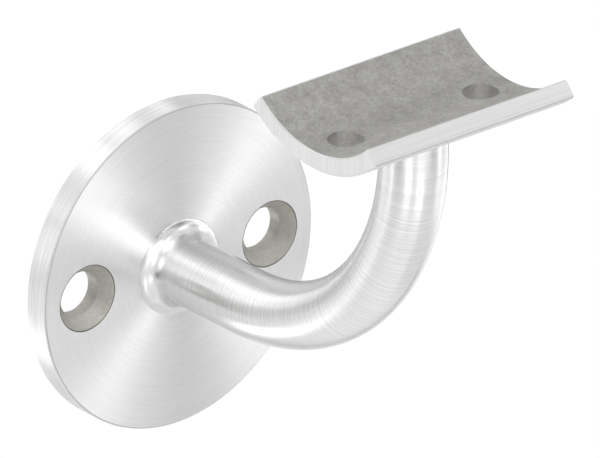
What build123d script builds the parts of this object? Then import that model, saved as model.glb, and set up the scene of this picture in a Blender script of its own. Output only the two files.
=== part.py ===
from build123d import *
import os

# Wall bracket for a round handrail: a round wall plate, a bent round bar and a curved
# saddle, welded together. The wall is the plane y = 0 and the bracket stands out along -Y.
# The rail runs along X. The origin is the centre of the plate's back face.

# Wall plate, a turned disc that lies flat on the wall
plate_diameter = 60.0
plate_thickness = 5.0
plate_edge_break = 0.25

# Two countersunk screw holes, left and right of the bar, set in from the plate's rim
wall_hole_inset = 9.5
wall_hole_diameter = 8.3
countersink_diameter = 12.5
countersink_angle = 78.0
countersink_edge_break = 0.2

# Arm, one solid round bar: straight out from the plate, a quarter bend, then up to the saddle
bar_diameter = 12.0
bar_straight_length = 18.2
bar_bend_radius = 45.0
bar_riser_length = 2.6

# Rail, and the saddle rolled to the rail's radius
rail_diameter = 42.4
saddle_length = 44.5
saddle_thickness = 3.4
saddle_wrap_angle = 83.2
saddle_edge_break = 0.3

# Two plain screw holes through the saddle, into the rail
saddle_hole_spacing = 30.0
saddle_hole_diameter = 6.5

# Weld round the bar on the plate, dressed to a hollow, with blunt toes
wall_weld_leg = 2.8
wall_weld_toe = 0.1

# Small bead between the bar's coped end and the saddle, with blunt toes
saddle_weld_leg = 1.0
saddle_weld_toe = 0.15

# Sizes and places that follow from those above
bar_radius = bar_diameter / 2
plate_front = Plane.XZ.offset(plate_thickness)
wall_hole_spacing = plate_diameter - 2 * wall_hole_inset
projection = plate_thickness + bar_straight_length + bar_bend_radius
saddle_inner_radius = rail_diameter / 2
saddle_outer_radius = saddle_inner_radius + saddle_thickness
saddle_underside = bar_bend_radius + bar_riser_length
rail_height = saddle_underside + saddle_outer_radius
rail_centre = (-projection, rail_height)
wrap_start = -90 - saddle_wrap_angle / 2
weld_rim = bar_radius + wall_weld_leg
weld_end = -plate_thickness - wall_weld_leg

os.makedirs("parts", exist_ok=True)

# Wall plate: the disc with both rims eased, then the two holes sunk from its front
with BuildPart() as wall_plate:
    with BuildSketch(Plane.XZ):
        Circle(plate_diameter / 2)
    extrude(amount=plate_thickness)
    chamfer(wall_plate.edges().filter_by(GeomType.CIRCLE), plate_edge_break)
    with Locations(plate_front):
        with GridLocations(wall_hole_spacing, 1, 2, 1):
            CounterSinkHole(
                wall_hole_diameter / 2,
                countersink_diameter / 2 - countersink_edge_break,
                counter_sink_angle=countersink_angle,
            )
    front_edges = wall_plate.edges().filter_by_position(Axis.Y, -plate_thickness, -plate_thickness)
    chamfer(front_edges.sort_by(SortBy.LENGTH)[:2], countersink_edge_break)
wall_plate.part.label = "wall_plate"
export_step(wall_plate.part, "parts/wall_plate.step")

# Arm: a round section swept along the bar's centre line, its upper end coped to the saddle
with BuildPart() as arm:
    with BuildLine(Plane.YZ) as centre_line:
        run = Line((-plate_thickness, 0), (-plate_thickness - bar_straight_length, 0))
        bend = TangentArc(run @ 1, (-projection, bar_bend_radius), tangent=run % 1)
        Line(bend @ 1, (-projection, rail_height))
    with BuildSketch(plate_front):
        Circle(bar_radius)
    sweep(path=centre_line.wires()[0])
    with BuildSketch(Plane.YZ):
        with Locations(rail_centre):
            Circle(saddle_outer_radius)
    extrude(amount=bar_diameter, both=True, mode=Mode.SUBTRACT)
arm.part.label = "arm"
export_step(arm.part, "parts/arm.step")

# Saddle: a strip rolled to the rail, its long edges cut square to the curve
with BuildPart() as saddle:
    with BuildSketch(Plane.YZ):
        with BuildLine():
            inner = CenterArc(rail_centre, saddle_inner_radius, wrap_start, saddle_wrap_angle)
            outer = CenterArc(rail_centre, saddle_outer_radius, wrap_start, saddle_wrap_angle)
            Line(inner @ 0, outer @ 0)
            Line(inner @ 1, outer @ 1)
        make_face()
    extrude(amount=saddle_length / 2, both=True)
    chamfer(saddle.edges(), saddle_edge_break)
    with Locations((0, -projection, rail_height)):
        with GridLocations(saddle_hole_spacing, 1, 2, 1):
            Hole(saddle_hole_diameter / 2)
saddle.part.label = "saddle"
export_step(saddle.part, "parts/saddle.step")

# Wall weld: a hollow fillet turned about the bar, seated on the plate and on the bar
with BuildPart() as wall_weld:
    with BuildSketch(Plane.XY):
        with BuildLine():
            hollow = CenterArc((weld_rim, weld_end), wall_weld_leg - wall_weld_toe, 90, 90)
            Polyline(
                hollow @ 0,
                (weld_rim, -plate_thickness),
                (bar_radius, -plate_thickness),
                (bar_radius, weld_end),
                hollow @ 1,
            )
        make_face()
    revolve(axis=Axis.Y)
wall_weld.part.label = "wall_weld"
export_step(wall_weld.part, "parts/wall_weld.step")

# Saddle weld: a ring round the bar that follows the saddle's underside, its lower rim sloped
with BuildPart() as saddle_weld:
    with BuildSketch(Plane.XY.offset(saddle_underside - saddle_weld_leg)):
        with Locations((0, -projection)):
            Circle(bar_radius + saddle_weld_leg)
            Circle(bar_radius, mode=Mode.SUBTRACT)
    extrude(amount=saddle_outer_radius)
    with BuildSketch(Plane.YZ):
        with Locations(rail_centre):
            Circle(saddle_outer_radius + saddle_weld_leg)
            Circle(saddle_outer_radius, mode=Mode.SUBTRACT)
    extrude(amount=bar_diameter, both=True, mode=Mode.INTERSECT)
    outer_rims = saddle_weld.edges().sort_by(SortBy.LENGTH)[-2:]
    chamfer(outer_rims.sort_by(Axis.Z)[0], saddle_weld_leg - saddle_weld_toe)
saddle_weld.part.label = "saddle_weld"
export_step(saddle_weld.part, "parts/saddle_weld.step")
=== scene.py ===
import math

import bpy
from mathutils import Matrix, Vector


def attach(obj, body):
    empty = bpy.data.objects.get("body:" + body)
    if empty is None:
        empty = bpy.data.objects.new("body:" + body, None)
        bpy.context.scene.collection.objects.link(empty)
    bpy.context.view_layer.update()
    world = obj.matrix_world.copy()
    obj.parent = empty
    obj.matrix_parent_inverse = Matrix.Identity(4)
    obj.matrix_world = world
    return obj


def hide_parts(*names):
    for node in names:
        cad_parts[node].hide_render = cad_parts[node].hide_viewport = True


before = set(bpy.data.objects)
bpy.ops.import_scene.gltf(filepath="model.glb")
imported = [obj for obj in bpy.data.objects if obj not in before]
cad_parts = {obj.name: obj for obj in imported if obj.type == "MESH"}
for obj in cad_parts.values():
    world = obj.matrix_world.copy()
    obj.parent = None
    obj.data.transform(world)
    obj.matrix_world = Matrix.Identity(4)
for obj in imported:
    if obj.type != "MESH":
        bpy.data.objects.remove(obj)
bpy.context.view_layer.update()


# Wall plate: a disc of 304 stainless steel, 60 mm across and 5 mm thick, turned on a lathe.
# Two screws hold it to the wall. Their countersinks are drilled last and left as they came.

def linear(hex_colour):
    """Turns an sRGB hex colour into the linear colour that a shader takes."""
    channels = [int(hex_colour[i:i + 2], 16) / 255 for i in (1, 3, 5)]
    return [c / 12.92 if c <= 0.04045 else ((c + 0.055) / 1.055) ** 2.4 for c in channels] + [1.0]


def new_material(name):
    """Makes a material, and gives it back with its nodes and its shader."""
    material = bpy.data.materials.new(name)
    material.use_nodes = True
    return material, material.node_tree, material.node_tree.nodes["Principled BSDF"]


def fill(tree, node, inputs):
    """Links each input that is given another node's output, and sets the others."""
    for socket, value in inputs.items():
        if isinstance(value, bpy.types.NodeSocket):
            tree.links.new(value, node.inputs[socket])
        else:
            node.inputs[socket].default_value = value


def add(tree, kind, inputs, output=0, **settings):
    """Adds a shader node with its settings and inputs, and gives back one of its outputs.

    A MapRange turns the value in input 0 from the range in inputs 1 and 2 to that in 3 and 4.
    A Mix blends numbers in inputs 2 and 3, vectors in 4 and 5 or colours in 6 and 7 by input 0,
    and gives them back in output 0, 1 or 2.
    """
    node = tree.nodes.new("ShaderNode" + kind)
    for name, value in settings.items():
        setattr(node, name, value)
    fill(tree, node, inputs)
    return node.outputs[output]


def per_metre(millimetres):
    """How many marks of that size lie in a metre, which is a pattern's scale."""
    return 1000 / millimetres


plate_front = -0.005
plate_hole_offset = 0.0205
countersink_radius = 0.00625
# The width of a dark ring painted just inside each countersink's rim.
rim_ring_width = 0.00022
# Radius less depth is largest on the break of the front edge, and the same all over it.
front_break_travel = 0.03472
break_line_radius = 0.02985
# One finish fades into the next over a few hundredths of a millimetre.
hundredth = 0.00001

ring_width_mm = 0.28        # real rings are finer than 0.1 mm
ring_wander = 2.5           # how much a ring changes on its way round
grit_mm = 0.2               # finer than 0.1 mm as well
grit_on_rim, grit_on_face = 0.1, 0.7
drilled_grain_mm = 1.0      # torn patches left by the drill, with finer ones in them
grit_when_drilled = 0.4
# Most of a noise lies in this range, so a pattern gets its full contrast from it.
strong = {1: 0.35, 2: 0.65}
turned_relief = {"Strength": 0.15, "Distance": 0.00003}

ring_dark, ring_light = linear("#CFCFCF"), linear("#E5E5E5")
drilled_dark, drilled_light = linear("#A5A39D"), linear("#C8C6BF")
break_line_colour, rim_ring_colour = linear("#BDBBB5"), linear("#6E6C68")
turned_roughness, drilled_roughness = 0.38, 0.6

# Stainless steel turned in fine rings, satin. The rings blur what it reflects straight across
# them, so each lamp shows as a bow tie of light that fans out from the plate's middle.
turned_steel, tree, shader = new_material("turned stainless steel")
place = add(tree, "TexCoord", {}, "Object")
depth = add(tree, "SeparateXYZ", {0: place}, "Y")
across = add(tree, "VectorMath", {0: place, 1: (1, 0, 1)}, operation="MULTIPLY")
radius = add(tree, "VectorMath", {0: across}, "Value", operation="LENGTH")
outward = add(tree, "VectorMath", {0: across}, operation="NORMALIZE")

# The rings follow the radius on the plate's face and the depth on its rim. Real rings and grit
# are too fine to show in the render, so both are drawn as coarse as they need to show.
travel = add(tree, "Math", {0: radius, 1: depth}, operation="SUBTRACT")
ring = add(tree, "Math", {0: travel, 1: per_metre(ring_width_mm)}, operation="MULTIPLY")
ring_row = add(tree, "CombineXYZ", {"Y": ring})
ring_place = add(tree, "VectorMath", {0: outward, 1: (ring_wander,) * 3, 2: ring_row},
                 operation="MULTIPLY_ADD")
rings = add(tree, "TexNoise", {"Vector": ring_place, "Scale": 1.0, "Detail": 4.0,
                               "Roughness": 0.65})
grit = add(tree, "TexNoise", {"Vector": place, "Scale": per_metre(grit_mm), "Detail": 2.0,
                              "Roughness": 0.7})
grit_share = add(tree, "MapRange", {0: depth, 1: plate_front + 15 * hundredth,
                                    2: plate_front + 5 * hundredth,
                                    3: grit_on_rim, 4: grit_on_face})
gritty_rings = add(tree, "Mix", {0: grit_share, 2: rings, 3: grit}, data_type="FLOAT")
ring_tone = add(tree, "MapRange", {0: gritty_rings, **strong})
ring_colour = add(tree, "Mix", {0: ring_tone, 6: ring_dark, 7: ring_light}, 2, data_type="RGBA")
across_rings = add(tree, "VectorMath", {0: outward, 1: (0, 1, 0)}, operation="ADD")

# The front edge is broken by hand, which leaves a thin, duller line round the face.
front_break = add(tree, "MapRange", {0: travel, 1: front_break_travel - 3 * hundredth,
                                     2: front_break_travel})
near_face = add(tree, "MapRange", {0: radius, 1: break_line_radius + 4 * hundredth,
                                   2: break_line_radius})
break_line = add(tree, "Math", {0: front_break, 1: near_face}, operation="MULTIPLY")
edged_colour = add(tree, "Mix", {0: break_line, 6: ring_colour, 7: break_line_colour}, 2,
                   data_type="RGBA")

# Countersinks and bores are raw from the drill, grey and grainy, with a dark ring painted just
# inside the rim.
mirrored = add(tree, "VectorMath", {0: across}, operation="ABSOLUTE")
from_hole = add(tree, "VectorMath", {0: mirrored, 1: (plate_hole_offset, 0, 0)}, "Value",
                operation="DISTANCE")
in_hole = add(tree, "MapRange", {0: from_hole, 1: countersink_radius - 2 * hundredth,
                                 2: countersink_radius - 8 * hundredth})
off_back = add(tree, "MapRange", {0: depth, 1: -2 * hundredth, 2: -6 * hundredth})
drilled = add(tree, "Math", {0: in_hole, 1: off_back}, operation="MULTIPLY")
rim_ring_start = countersink_radius - rim_ring_width
rim_ring = add(tree, "MapRange", {0: from_hole, 1: rim_ring_start - 5 * hundredth, 2: rim_ring_start})
grain = add(tree, "TexNoise", {"Vector": place, "Scale": per_metre(drilled_grain_mm),
                               "Detail": 8.0, "Roughness": 0.85})
gritty_grain = add(tree, "Mix", {0: grit_when_drilled, 2: grain, 3: grit}, data_type="FLOAT")
grain_tone = add(tree, "MapRange", {0: gritty_grain, **strong})
grain_colour = add(tree, "Mix", {0: grain_tone, 6: drilled_dark, 7: drilled_light}, 2,
                   data_type="RGBA")
# The dark ring is painted over the grain, just inside the rim.
hole_colour = add(tree, "Mix", {0: rim_ring, 6: grain_colour, 7: rim_ring_colour}, 2, data_type="RGBA")

# Where the steel has no rings, the light is blurred a different way at every point.
dull = add(tree, "Math", {0: drilled, 1: front_break}, operation="MAXIMUM")
any_way = add(tree, "TexWhiteNoise", {"Vector": place}, "Color")
marks = add(tree, "Mix", {0: drilled, 2: rings, 3: grain}, data_type="FLOAT")
fill(tree, shader, {
    "Metallic": 1.0,
    "Anisotropic": 0.92,
    "Base Color": add(tree, "Mix", {0: drilled, 6: edged_colour, 7: hole_colour}, 2,
                      data_type="RGBA"),
    "Roughness": add(tree, "Mix", {0: dull, 2: turned_roughness, 3: drilled_roughness},
                     data_type="FLOAT"),
    "Tangent": add(tree, "Mix", {0: dull, 4: across_rings, 5: any_way}, 1, data_type="VECTOR"),
    "Normal": add(tree, "Bump", {"Height": marks, **turned_relief}),
})

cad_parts["wall_plate"].material_slots[0].material = turned_steel


# Arm: 12 mm round bar of 304 stainless steel, cut, bent cold to 45 mm, butted on the plate and
# welded there. It is brushed afterwards with a belt that runs round it.

bend_centre = (0, -0.0232, 0.045)
bend_radius = 0.045
weld_end = -0.0086
root_start, root_end = 0.0009, 0.0018

stroke_width_mm = 0.38      # real strokes are finer than 0.1 mm
stroke_length_mm = 80
# A wider range than the plate's, for a gentler pattern
gentle = {1: 0.3, 2: 0.7}
stroke_relief = {"Strength": 0.02, "Distance": 0.00003}

stroke_dark, stroke_light, root_colour = linear("#CCCCCC"), linear("#E7E7E7"), linear("#DADADA")
stroke_smooth, stroke_rough, root_roughness = 0.265, 0.275, 0.22

# Stainless steel brushed round the bar, satin. What it reflects stays sharp round the bar and
# is smeared along it, so the lamps run down the bend as long soft bands.
brushed_bar, tree, shader = new_material("brushed stainless bar")
place = add(tree, "TexCoord", {}, "Object")

# The place is measured from the bend's centre: its turn, with the straight ends added on, is
# the way along the bar, and its reach is the way out from the bend.
from_centre = add(tree, "VectorMath", {0: bend_centre, 1: place}, operation="SUBTRACT")
in_bend = add(tree, "VectorMath", {0: from_centre, 1: (0, 0, 0)}, operation="MAXIMUM")
past_bend = add(tree, "VectorMath", {0: from_centre, 1: (0, 0, 0)}, operation="MINIMUM")
turn = add(tree, "Math", {0: add(tree, "SeparateXYZ", {0: in_bend}, "Y"),
                          1: add(tree, "SeparateXYZ", {0: in_bend}, "Z")}, operation="ARCTAN2")
straight = add(tree, "Math", {0: add(tree, "SeparateXYZ", {0: past_bend}, "Y"),
                              1: add(tree, "SeparateXYZ", {0: past_bend}, "Z")},
               operation="SUBTRACT")
along_bar = add(tree, "Math", {0: turn, 1: bend_radius, 2: straight}, operation="MULTIPLY_ADD")
bend_plane = add(tree, "VectorMath", {0: in_bend, 1: (0, 1, 1)}, operation="MULTIPLY")
reach = add(tree, "VectorMath", {0: bend_plane}, "Value", operation="LENGTH")
bar_direction = add(tree, "VectorMath", {0: (1, 0, 0), 1: in_bend}, operation="CROSS_PRODUCT")

# A real stroke is too fine to show in the render, so it is drawn as coarse as it needs to show.
unrolled = add(tree, "CombineXYZ", {
    "X": add(tree, "SeparateXYZ", {0: place}, "X"),
    "Y": along_bar,
    "Z": add(tree, "Math", {0: reach, 1: bend_radius}, operation="SUBTRACT"),
})
stroke_scale = (per_metre(stroke_length_mm), per_metre(stroke_width_mm),
                per_metre(stroke_length_mm))
stroke_place = add(tree, "VectorMath", {0: unrolled, 1: stroke_scale}, operation="MULTIPLY")
strokes = add(tree, "TexNoise", {"Vector": stroke_place, "Scale": 1.0, "Detail": 3.0,
                                 "Roughness": 0.6})
stroke_tone = add(tree, "MapRange", {0: strokes, **gentle})
stroke_colour = add(tree, "Mix", {0: stroke_tone, 6: stroke_dark, 7: stroke_light}, 2,
                    data_type="RGBA")
stroke_roughness = add(tree, "Mix", {0: stroke_tone, 2: stroke_smooth, 3: stroke_rough},
                       data_type="FLOAT")

# The belt doesn't reach the last stretch before the weld, which is polished with it.
from_wall = add(tree, "SeparateXYZ", {0: place}, "Y")
brushed = add(tree, "MapRange", {0: from_wall, 1: weld_end - root_start,
                                 2: weld_end - root_end})
scratches = add(tree, "Math", {0: strokes, 1: brushed}, operation="MULTIPLY")
fill(tree, shader, {
    "Metallic": 1.0,
    "Anisotropic": 0.56,
    "Base Color": add(tree, "Mix", {0: brushed, 6: root_colour, 7: stroke_colour}, 2,
                      data_type="RGBA"),
    "Roughness": add(tree, "Mix", {0: brushed, 2: root_roughness, 3: stroke_roughness},
                     data_type="FLOAT"),
    "Tangent": bar_direction,
    "Normal": add(tree, "Bump", {"Height": scratches, **stroke_relief}),
})

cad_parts["arm"].material_slots[0].material = brushed_bar


# Wall weld and saddle weld: fillets of stainless steel laid with a TIG torch round the bar's
# two ends. The wall weld is ground to a smooth hollow and polished, and runs further along the
# bar than over the plate.

def put(name, data, placing):
    """Puts a new object into the scene at that placing."""
    thing = bpy.data.objects.new(name, data)
    bpy.context.scene.collection.objects.link(thing)
    thing.matrix_world = placing
    return thing


toe_radius, toe_depth = 0.0089, plate_front
top_radius, top_depth = 0.006, weld_end
sunk = 0.00002
turn_steps = 144
arc_steps = 48
smooth_below = math.radians(35)

ripple_mm = 1.5             # the step of the torch along the bead
ripple_relief = {"Strength": 0.08, "Distance": 0.00003}
ripple_dark, ripple_light = linear("#D1D1D1"), linear("#DADADA")

# Stainless steel polished by hand, with faint ripples left from the torch. It is smooth enough
# for its hollow to gather the whole studio into thin crescents of light.
polished_weld, tree, shader = new_material("polished stainless weld")
place = add(tree, "TexCoord", {}, "Object")
ripple = add(tree, "TexNoise", {"Vector": place, "Scale": per_metre(ripple_mm), "Detail": 2.0})
ripple_tone = add(tree, "MapRange", {0: ripple, **gentle})
fill(tree, shader, {
    "Metallic": 1.0,
    "Roughness": 0.27,
    "Base Color": add(tree, "Mix", {0: ripple_tone, 6: ripple_dark, 7: ripple_light}, 2,
                      data_type="RGBA"),
    "Normal": add(tree, "Bump", {"Height": ripple, **ripple_relief}),
})

# The section, as radius and depth: up from the plate, along the hollow, and down inside the
# bar. Its hidden sides are sunk a hair into plate and bar, so that no gap shows.
section = [(toe_radius, toe_depth + sunk)]
for step in range(arc_steps + 1):
    angle = step / arc_steps * math.pi / 2
    section.append((toe_radius - (toe_radius - top_radius) * math.sin(angle),
                    top_depth + (toe_depth - top_depth) * math.cos(angle)))
section += [(top_radius - sunk, top_depth), (top_radius - sunk, toe_depth + sunk)]

points, faces = [], []
for step in range(turn_steps):
    angle = 2 * math.pi * step / turn_steps
    points += [(r * math.cos(angle), y, r * math.sin(angle)) for r, y in section]
    here = step * len(section)
    there = (step + 1) % turn_steps * len(section)
    for i in range(len(section)):
        j = (i + 1) % len(section)
        faces.append((here + i, there + i, there + j, here + j))
mesh = bpy.data.meshes.new("dressed_weld")
mesh.from_pydata(points, [], faces)
mesh.shade_smooth()
mesh.set_sharp_from_angle(angle=smooth_below)
mesh.materials.append(polished_weld)
dressed_weld = put("dressed_weld", mesh, Matrix())
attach(dressed_weld, "root")
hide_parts("wall_weld")

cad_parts["saddle_weld"].material_slots[0].material = polished_weld


# Saddle: 3.4 mm strip of 304 stainless steel, slit, rolled to the rail's radius and welded on
# the bar. Its long edges and ends are ground, and its inside, which the rail hides, is left raw.

rail_axis = (0, -0.0682, 0.0722)
saddle_inner_radius = 0.0212
saddle_hole_offset = 0.015
saddle_hole_radius = 0.00325
# The radius of a thin dark line painted along the strip's long edges.
dark_line_radius = 0.02395

blotch_mm = 2.5             # patches of mill skin, some millimetres across
fleck_mm = 0.5              # really about 0.1 mm
fleck_share = 0.35
ground_line_width_mm = 0.3  # really finer than 0.1 mm
ground_line_length_mm = 20
# How much painted light lightens the holes.
painted_bore_share = 0.22

raw_dark, raw_light, painted_bore_colour = linear("#858480"), linear("#B2B1AE"), linear("#E4E2DC")
ground_dark, ground_light = linear("#D4D4D4"), linear("#DFDFDF")
# The broken edges carry painted light: darker along the strip as painted shade, lighter at the ends
# as a painted highlight.
shaded_long_break_colour, lit_end_break_colour = linear("#CFCFCF"), linear("#DDDDDD")
ground_roughness, raw_roughness = 0.42, 0.62

# Stainless steel strip with its mill skin on, ground at the edges. The skin is grey, blotched
# and matt. The edges are pale and satin, with fine lines along them.
saddle_steel, tree, shader = new_material("rolled stainless strip")
place = add(tree, "TexCoord", {}, "Object")
from_axis = add(tree, "VectorMath", {0: place, 1: rail_axis}, operation="SUBTRACT")
strip_section = add(tree, "VectorMath", {0: from_axis, 1: (0, 1, 1)}, operation="MULTIPLY")
strip_radius = add(tree, "VectorMath", {0: strip_section}, "Value", operation="LENGTH")
inside = add(tree, "MapRange", {0: strip_radius, 1: saddle_inner_radius + 6 * hundredth,
                                2: saddle_inner_radius + hundredth})

# The holes are drilled, and painted light makes them a little lighter than the skin.
plan = add(tree, "VectorMath", {0: from_axis, 1: (1, 1, 0)}, operation="MULTIPLY")
mirrored = add(tree, "VectorMath", {0: plan}, operation="ABSOLUTE")
from_hole = add(tree, "VectorMath", {0: mirrored, 1: (saddle_hole_offset, 0, 0)}, "Value",
                operation="DISTANCE")
bored = add(tree, "MapRange", {0: from_hole, 1: saddle_hole_radius + 6 * hundredth,
                               2: saddle_hole_radius + 2 * hundredth})
painted_bore_light = add(tree, "Math", {0: bored, 1: painted_bore_share}, operation="MULTIPLY")
raw = add(tree, "Math", {0: inside, 1: bored}, operation="MAXIMUM")

# The skin is blotched and flecked. Real flecks are too fine to show and are drawn coarser.
blotches = add(tree, "TexNoise", {"Vector": place, "Scale": per_metre(blotch_mm), "Detail": 9.0,
                                  "Roughness": 0.85})
flecks = add(tree, "TexNoise", {"Vector": place, "Scale": per_metre(fleck_mm), "Detail": 3.0,
                                "Roughness": 0.75})
flecked = add(tree, "Mix", {0: fleck_share, 2: blotches, 3: flecks}, data_type="FLOAT")
raw_tone = add(tree, "MapRange", {0: flecked, **strong})
skin_colour = add(tree, "Mix", {0: raw_tone, 6: raw_dark, 7: raw_light}, 2, data_type="RGBA")
# In the holes, the skin's colour is lightened with painted light.
raw_colour = add(tree, "Mix", {0: painted_bore_light, 6: skin_colour, 7: painted_bore_colour}, 2, data_type="RGBA")

# The lines from grinding run along the strip's edges, and are drawn coarser as well.
line_scale = (per_metre(ground_line_length_mm), per_metre(ground_line_width_mm),
              per_metre(ground_line_length_mm))
line_place = add(tree, "VectorMath", {0: place, 1: line_scale}, operation="MULTIPLY")
lines = add(tree, "TexNoise", {"Vector": line_place, "Scale": 1.0, "Detail": 3.0})
line_tone = add(tree, "MapRange", {0: lines, **gentle})
ground_colour = add(tree, "Mix", {0: line_tone, 6: ground_dark, 7: ground_light}, 2,
                    data_type="RGBA")

# A surface's facing along the rail, or away from it, is 1 on the strip's ends or its broad
# sides, 0 on its long edges, and 0.7 on the broken edges between them. The broken edges along
# the strip are painted darker, as painted shade, and those at its ends lighter, as a painted
# highlight. A thin dark line is painted on the long edge beside the lower broken edge.
facing_way = add(tree, "TexCoord", {}, "Normal")
facing_x = add(tree, "SeparateXYZ", {0: facing_way}, "X")
along_rail = add(tree, "Math", {0: facing_x}, operation="ABSOLUTE")
outward = add(tree, "VectorMath", {0: strip_section}, operation="NORMALIZE")
facing_out = add(tree, "VectorMath", {0: facing_way, 1: outward}, "Value",
                 operation="DOT_PRODUCT")
away = add(tree, "Math", {0: facing_out}, operation="ABSOLUTE")
most = add(tree, "Math", {0: along_rail, 1: away}, operation="MAXIMUM")
off_long_edge = add(tree, "MapRange", {0: most, 1: 0.4, 2: 0.5})
off_sides = add(tree, "MapRange", {0: most, 1: 0.95, 2: 0.85})
broken = add(tree, "Math", {0: off_long_edge, 1: off_sides}, operation="MULTIPLY")
at_end = add(tree, "MapRange", {0: along_rail, 1: 0.3, 2: 0.4})
# The end breaks get a painted highlight, and those along the strip get painted shade.
painted_break_colour = add(tree, "Mix", {0: at_end, 6: shaded_long_break_colour, 7: lit_end_break_colour}, 2,
                   data_type="RGBA")

line_offset = add(tree, "Math", {0: strip_radius, 1: dark_line_radius}, operation="SUBTRACT")
off_line = add(tree, "Math", {0: line_offset}, operation="ABSOLUTE")
on_line = add(tree, "MapRange", {0: off_line, 1: 10 * hundredth, 2: 4 * hundredth})
off_end = add(tree, "MapRange", {0: along_rail, 1: 0.3, 2: 0.2})
dark_line_mask = add(tree, "Math", {0: on_line, 1: off_end}, operation="MULTIPLY")
dull = add(tree, "Math", {0: broken, 1: dark_line_mask}, operation="MAXIMUM")
edge_colour = add(tree, "Mix", {0: dull, 6: ground_colour, 7: painted_break_colour}, 2,
                  data_type="RGBA")

# The lines smear light across them. The skin and the broken edges blur it every way.
matt = add(tree, "Math", {0: raw, 1: broken}, operation="MAXIMUM")
any_way = add(tree, "TexWhiteNoise", {"Vector": place}, "Color")
fill(tree, shader, {
    "Metallic": 1.0,
    "Anisotropic": 0.83,
    "Base Color": add(tree, "Mix", {0: raw, 6: edge_colour, 7: raw_colour}, 2,
                      data_type="RGBA"),
    "Roughness": add(tree, "Mix", {0: matt, 2: ground_roughness, 3: raw_roughness},
                     data_type="FLOAT"),
    "Tangent": add(tree, "Mix", {0: matt, 4: (0, 1, 0), 5: any_way}, 1, data_type="VECTOR"),
})

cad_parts["saddle"].material_slots[0].material = saddle_steel


# Studio: a pale floor 2 m below the bracket, a white surround, and softboxes and grey cards all
# round the bracket, above the floor. Bright metal shows little else than these.

studio_middle = Vector((0, -0.035, 0.02))
softbox_distance = 1.2
card_distance = 1.6
floor_drop = 2.0
floor_half = 6.0
floor_glow = 0.1

# Each has its direction from the bracket (degrees from +X, degrees up), its half width and half
# height as seen from there, its tilt, and how much brighter than the white surround it is. These
# numbers and the cards' come from a program that fitted them to the photograph's reflections,
# and were rounded afterwards.
softboxes = [
    (-99, 25, 15, 29.5, 2, 2.1),        # the main one in front: plate, bar and weld
    (-87, 8, 3.5, 17, 6, 4),            # a strong strip beside it: plate and bar
    (-39, 11, 29.5, 4.5, 94, 1.9),      # plate, and the saddle's long edge
    (-24, -5, 23, 3.5, 33, 1.8),        # plate, from the right
    (-52.5, -12, 20, 3.5, -18, 2.0),    # plate, from below
    (170, 6, 5.5, 28.5, -28, 3.0),      # the plate's rim and the saddle's end
    (74, 32, 23, 6.5, -17, 4),          # rim, from behind
    (122, 39, 21, 10.5, -55, 1.9),      # rim, from behind and further left
    (22, 35, 9.5, 21.5, -8, 2.7),       # rim, and the saddle's long edge
    (100, -27, 30, 9.5, -47, 1.5),      # the saddle's end and the rim, from below
    (-8, -32, 30, 6, 9, 0.5),           # a faint one low on the right: plate
    (-144, -28, 9.5, 4.5, -7, 1.6),     # the bar's underside
    (-104, -34, 11, 5, -14, 1.2),       # the bar's and the weld's underside
    (-146, 67, 11, 15, 4, 2.1),         # the top of the weld
    (-117, 32, 7, 7, -4, 1.6),          # a small one for weld and bar
    (-135, 14, 9, 8.5, -3, 1.9),        # another small one, lower
]
# A card is given in the same way, and its last value is its colour.
cards = [
    (41, 48, 18, 30, 16, "#505050"),
    (112, 37, 21.5, 25.5, -26, "#505050"),
    (-45, -36, 30, 30, -58, "#EBEBEB"),
    (42, 5, 26, 29, 19, "#505050"),
    (169, -11, 25, 8.5, -11, "#505050"),
    (48, -57, 28, 3.5, -8, "#8C8C8C"),
    (-49, -5, 16.5, 30, -22, "#505050"),
]


def facing(azimuth, elevation, tilt, distance):
    """The placing of a flat thing that stands that way from the bracket and faces it."""
    a, e = math.radians(azimuth), math.radians(elevation)
    toward = Vector((math.cos(e) * math.cos(a), math.cos(e) * math.sin(a), math.sin(e)))
    level = Vector((-math.sin(a), math.cos(a), 0))
    axes = Matrix((level, toward.cross(level), toward)).transposed().to_4x4()
    return (Matrix.Translation(studio_middle + distance * toward) @ axes
            @ Matrix.Rotation(math.radians(tilt), 4, "Z"))


def sheet(name, half_width, half_height, finish, placing):
    """Puts a flat rectangle into the scene."""
    w, h = half_width, half_height
    mesh = bpy.data.meshes.new(name)
    mesh.from_pydata([(-w, -h, 0), (w, -h, 0), (w, h, 0), (-w, h, 0)], [], [(0, 1, 2, 3)])
    mesh.materials.append(finish)
    return put(name, mesh, placing)


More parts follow.
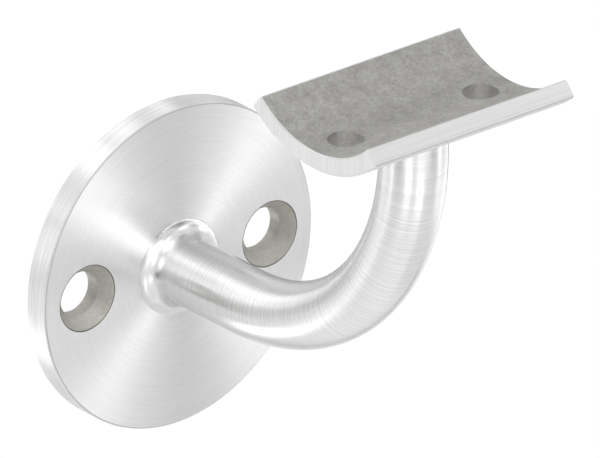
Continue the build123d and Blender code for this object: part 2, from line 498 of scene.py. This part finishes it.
for number, (azimuth, elevation, half_width, half_height, tilt, brightness) in enumerate(softboxes):
    lamp = bpy.data.lights.new(f"softbox_{number}", "AREA")
    lamp.shape = "RECTANGLE"
    lamp.size = 2 * softbox_distance * math.tan(math.radians(half_width))
    lamp.size_y = 2 * softbox_distance * math.tan(math.radians(half_height))
    lamp.energy = brightness * math.pi * lamp.size * lamp.size_y
    softbox = put(lamp.name, lamp, facing(azimuth, elevation, tilt, softbox_distance))
    softbox.visible_camera = False

# The cards are grey felt on board. They give back less light than the surround that they hide,
# and put the darker bands into the steel.
for number, (azimuth, elevation, half_width, half_height, tilt, colour) in enumerate(cards):
    felt, tree, shader = new_material(f"card felt {number}")
    fill(tree, shader, {"Base Color": linear(colour), "Roughness": 1.0})
    card = sheet(f"card_{number}", card_distance * math.tan(math.radians(half_width)),
                 card_distance * math.tan(math.radians(half_height)), felt,
                 facing(azimuth, elevation, tilt, card_distance))
    card.visible_camera = False

# The floor has matt white paint. A faint glow makes up for the light that the paint takes, so
# that floor and surround look like one.
floor_paint, tree, shader = new_material("pale floor paint")
fill(tree, shader, {
    "Base Color": linear("#F8F8F8"),
    "Roughness": 1.0,
    "Specular IOR Level": 0.0,
    "Emission Color": linear("#FFFFFF"),
    "Emission Strength": floor_glow,
})
floor = sheet("studio_floor", floor_half, floor_half, floor_paint,
              Matrix.Translation((0, 0, -floor_drop)))

surround = bpy.data.worlds.new("white surround")
surround.use_nodes = True
fill(surround.node_tree, surround.node_tree.nodes["Background"],
     {"Color": linear("#FFFFFF"), "Strength": 1.0})
bpy.context.scene.world = surround


# Camera: a long lens some metres off, to the left of the bracket and above it. From so far off
# the edges that are parallel stay nearly parallel, as they are in the photograph.

camera_place = (-1.99289, -2.43456, 1.47596)
camera_turn = math.radians(-39.744)
camera_rise = math.radians(25.054)
camera_roll = math.radians(-0.092)

lens = bpy.data.cameras.new("camera")
lens.lens = 1200
lens.clip_start = 0.5
lens.clip_end = 20
camera = put("camera", lens, Matrix.Translation(camera_place)
             @ Matrix.Rotation(camera_turn, 4, "Z")
             @ Matrix.Rotation(math.pi / 2 - camera_rise, 4, "X")
             @ Matrix.Rotation(camera_roll, 4, "Z"))
bpy.context.scene.camera = camera

bpy.context.scene.view_settings.view_transform = "Standard"
